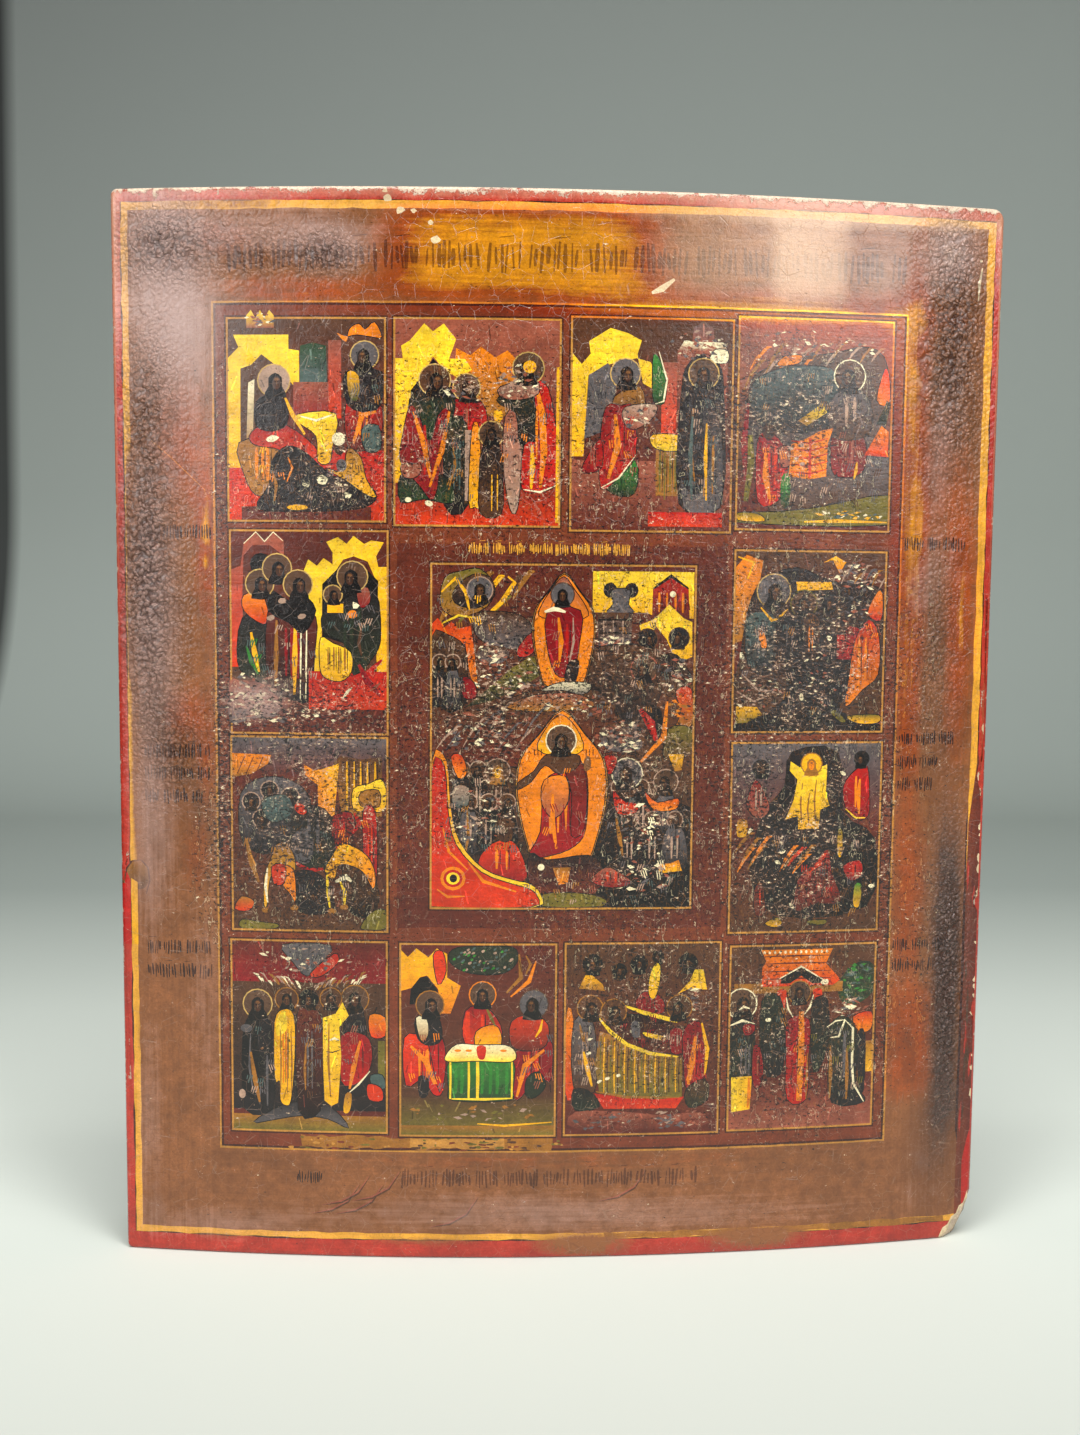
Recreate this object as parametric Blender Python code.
"""A painted icon on one bowed wooden board, standing on its lower edge.

The board is modelled flat: face forward (towards -Y), lower edge on the ground. It is then
tapered and bowed, so that the middle of its face stands before its two sides, as a cupped
board does. Last, the broken lower corner and the chips along the edges are cut out of it.
Metres, +Z up, origin under the middle of the board.
"""

import math
import random

import bmesh
import bpy
from mathutils import Matrix, Vector

MM = 0.001

# The board
BOARD_HEIGHT = 310.0 * MM
BOARD_WIDTH = 258.0 * MM          # across the face, half way up
BOARD_THICKNESS = 27.0 * MM
WIDTH_GAIN = 4.4 * MM             # how much wider the top edge is than the bottom edge
BOW_DEPTH = 12.1 * MM             # how far the middle of the face stands before its sides

# Corners seen from the front, and the eased edges
TOP_LEFT_RADIUS = 2.0 * MM
TOP_RIGHT_RADIUS = 3.4 * MM
BOTTOM_RADIUS = 1.6 * MM
EDGE_EASING = 1.1 * MM

# The lower right corner is broken off on a slant
BREAK_WIDTH = 9.0 * MM            # along the lower edge of the face
BREAK_HEIGHT = 13.5 * MM          # up the right edge of the face
BREAK_DEPTH = 8.0 * MM            # back from the face, along the lost corner
BREAK_ROUGHNESS = 0.35 * MM

# Chips out of the face's edges: side, height above the ground, length and depth
CHIP_REACH = 2.6 * MM             # how far a chip runs back from the face
CHIPS = (
    ("right", 198.0 * MM, 5.0 * MM, 0.9 * MM),
    ("right", 165.0 * MM, 11.0 * MM, 1.3 * MM),
    ("right", 142.0 * MM, 8.0 * MM, 1.4 * MM),
    ("right", 104.0 * MM, 4.0 * MM, 0.8 * MM),
    ("right", 71.0 * MM, 4.5 * MM, 0.9 * MM),
    ("left", 236.0 * MM, 4.0 * MM, 0.8 * MM),
    ("left", 118.0 * MM, 5.0 * MM, 0.9 * MM),
    ("left", 52.0 * MM, 4.0 * MM, 0.8 * MM),
)

# How finely round forms are faceted
BOW_FACETS = 32
CORNER_SEGMENTS = 3
EASING_SEGMENTS = 2
BREAK_CUTS = 9
SEED = 7

FACE_COLOUR = (0.20, 0.075, 0.035, 1.0)


def collection(name):
    made = bpy.data.collections.new(name)
    bpy.context.scene.collection.children.link(made)
    return made


def move_to(obj, target):
    for holder in list(obj.users_collection):
        holder.objects.unlink(obj)
    target.objects.link(obj)


def painted_wood():
    material = bpy.data.materials.new("varnished paint on wood")
    material.use_nodes = True
    shader = material.node_tree.nodes["Principled BSDF"]
    shader.inputs["Base Color"].default_value = FACE_COLOUR
    shader.inputs["Roughness"].default_value = 0.35
    shader.inputs["Metallic"].default_value = 0.0
    return material


def warp(flat):
    """A point of the flat board, carried to its place on the tapered and bowed one."""
    half = BOARD_WIDTH / 2
    share = flat.x / half
    taper = 1 + WIDTH_GAIN / BOARD_WIDTH * (flat.z / BOARD_HEIGHT - 0.5)
    lean = math.atan(2 * BOW_DEPTH * share / half)
    x = flat.x * taper - flat.y * math.sin(lean)
    y = -BOW_DEPTH * (1 - share * share) + flat.y * math.cos(lean)
    return Vector((x, y, flat.z))


def middle_of_depth():
    """Half way between the foremost and the rearmost point of the bowed board."""
    front = warp(Vector((0, 0, 0))).y
    back = warp(Vector((BOARD_WIDTH / 2, BOARD_THICKNESS, 0))).y
    return (front + back) / 2


def place(flat):
    """The same, with the origin under the middle of the board."""
    return warp(flat) - Vector((0, middle_of_depth(), 0))


def corner_edges(mesh, side, top):
    """The edge through the thickness at one corner of the flat board."""
    level = BOARD_HEIGHT if top else 0.0
    found = []
    for edge in mesh.edges:
        ends = [vert.co for vert in edge.verts]
        at_side = all(side * end.x > BOARD_WIDTH / 4 for end in ends)
        at_level = all(abs(end.z - level) < BOARD_HEIGHT / 4 for end in ends)
        through = abs(ends[0].y - ends[1].y) > BOARD_THICKNESS / 2
        if at_side and at_level and through:
            found.append(edge)
    return found


def round_corner(mesh, side, top, radius):
    bmesh.ops.bevel(
        mesh, geom=corner_edges(mesh, side, top), offset=radius, offset_type="OFFSET",
        segments=CORNER_SEGMENTS, profile=0.5, affect="EDGES")


def ease_edges(mesh):
    """Round off the edges all round the face and the back."""
    rims = []
    for edge in mesh.edges:
        flats = [abs(face.normal.y) > 0.9 for face in edge.link_faces]
        if any(flats) and not all(flats):
            rims.append(edge)
    bmesh.ops.bevel(
        mesh, geom=rims, offset=EDGE_EASING, offset_type="OFFSET",
        segments=EASING_SEGMENTS, profile=0.5, affect="EDGES")


def cut_in_strips(mesh):
    """Upright cuts that let the flat board bend."""
    for index in range(1, BOW_FACETS):
        x = BOARD_WIDTH * (index / BOW_FACETS - 0.5)
        bmesh.ops.bisect_plane(
            mesh, geom=mesh.verts[:] + mesh.edges[:] + mesh.faces[:],
            plane_co=(x, 0, 0), plane_no=(1, 0, 0), dist=0.00001)


def icon_board(parts):
    bpy.ops.mesh.primitive_cube_add(size=1)
    board = bpy.context.object
    board.name = "icon_board"
    board.data.name = "icon_board"
    move_to(board, parts)
    board.data.materials.append(painted_wood())

    mesh = bmesh.new()
    mesh.from_mesh(board.data)
    bmesh.ops.translate(mesh, verts=mesh.verts, vec=(0, 0.5, 0.5))
    bmesh.ops.scale(mesh, verts=mesh.verts, vec=(BOARD_WIDTH, BOARD_THICKNESS, BOARD_HEIGHT))
    round_corner(mesh, -1, True, TOP_LEFT_RADIUS)
    round_corner(mesh, 1, True, TOP_RIGHT_RADIUS)
    round_corner(mesh, -1, False, BOTTOM_RADIUS)
    round_corner(mesh, 1, False, BOTTOM_RADIUS)
    mesh.normal_update()
    ease_edges(mesh)
    cut_in_strips(mesh)
    for vert in mesh.verts:
        vert.co = place(vert.co)
    bmesh.ops.triangulate(mesh, faces=mesh.faces[:])
    bmesh.ops.recalc_face_normals(mesh, faces=mesh.faces[:])
    mesh.to_mesh(board.data)
    mesh.free()
    board.data.shade_smooth()
    board.data.set_sharp_from_angle(angle=math.radians(35))
    return board


def hide_cutter(cutter, name, cutters):
    cutter.name = name
    cutter.hide_render = True
    cutter.display_type = "WIRE"
    move_to(cutter, cutters)


def break_cutter(cutters, chance):
    """A block whose rough lower side lies along the slanted break of the corner."""
    right = BOARD_WIDTH / 2
    on_bottom = place(Vector((right - BREAK_WIDTH, 0, 0)))
    on_side = place(Vector((right, 0, BREAK_HEIGHT)))
    behind = place(Vector((right, BREAK_DEPTH, 0)))
    along = (on_side - on_bottom).normalized()
    outward = along.cross(behind - on_bottom).normalized()
    if outward.x < 0:
        outward.negate()
    across = outward.cross(along)
    middle = (on_bottom + on_side + behind) / 3
    reach = 2.2 * max(BREAK_WIDTH, BREAK_HEIGHT, BREAK_DEPTH)

    bpy.ops.mesh.primitive_cube_add(size=1)
    cutter = bpy.context.object
    mesh = bmesh.new()
    mesh.from_mesh(cutter.data)
    bmesh.ops.translate(mesh, verts=mesh.verts, vec=(0, 0, 0.5))
    bmesh.ops.scale(mesh, verts=mesh.verts, vec=(reach, reach, reach))
    floor = [face for face in mesh.faces if face.normal.z < -0.9]
    floor_edges = {edge for face in floor for edge in face.edges}
    bmesh.ops.subdivide_edges(
        mesh, edges=list(floor_edges), cuts=BREAK_CUTS, use_grid_fill=True)
    rim = reach / 2 * 0.99
    for vert in mesh.verts:
        inside = abs(vert.co.x) < rim and abs(vert.co.y) < rim
        if inside and vert.co.z < reach / 2:
            vert.co.z += chance.uniform(-BREAK_ROUGHNESS, BREAK_ROUGHNESS)
    turn = Matrix((along, across, outward)).transposed().to_4x4()
    mesh.transform(Matrix.Translation(middle) @ turn)
    bmesh.ops.triangulate(mesh, faces=mesh.faces[:])
    bmesh.ops.recalc_face_normals(mesh, faces=mesh.faces[:])
    mesh.to_mesh(cutter.data)
    mesh.free()
    hide_cutter(cutter, "break_cutter", cutters)
    return cutter


def chip_cutter(cutters, chance, number, chip):
    """A lumpy pebble, sunk into one edge of the face."""
    side_name, height, length, depth = chip
    side = 1 if side_name == "right" else -1
    bpy.ops.mesh.primitive_ico_sphere_add(subdivisions=2, radius=1)
    cutter = bpy.context.object
    edge = place(Vector((side * BOARD_WIDTH / 2, 0, height)))
    for vert in cutter.data.vertices:
        lump = chance.uniform(0.86, 1.14)
        vert.co = Vector((
            edge.x + vert.co.x * lump * depth,
            edge.y + vert.co.y * lump * CHIP_REACH,
            edge.z + vert.co.z * lump * length / 2))
    hide_cutter(cutter, f"chip_cutter_{number}", cutters)
    return cutter


def cut(board, cutter):
    boolean = board.modifiers.new(cutter.name, "BOOLEAN")
    boolean.operation = "DIFFERENCE"
    boolean.solver = "EXACT"
    boolean.object = cutter


def main():
    for obj in list(bpy.data.objects):
        bpy.data.objects.remove(obj, do_unlink=True)
    parts = collection("icon panel")
    cutters = collection("icon panel cutters")
    chance = random.Random(SEED)
    board = icon_board(parts)
    cut(board, break_cutter(cutters, chance))
    for number, chip in enumerate(CHIPS, start=1):
        cut(board, chip_cutter(cutters, chance, number, chip))


main()
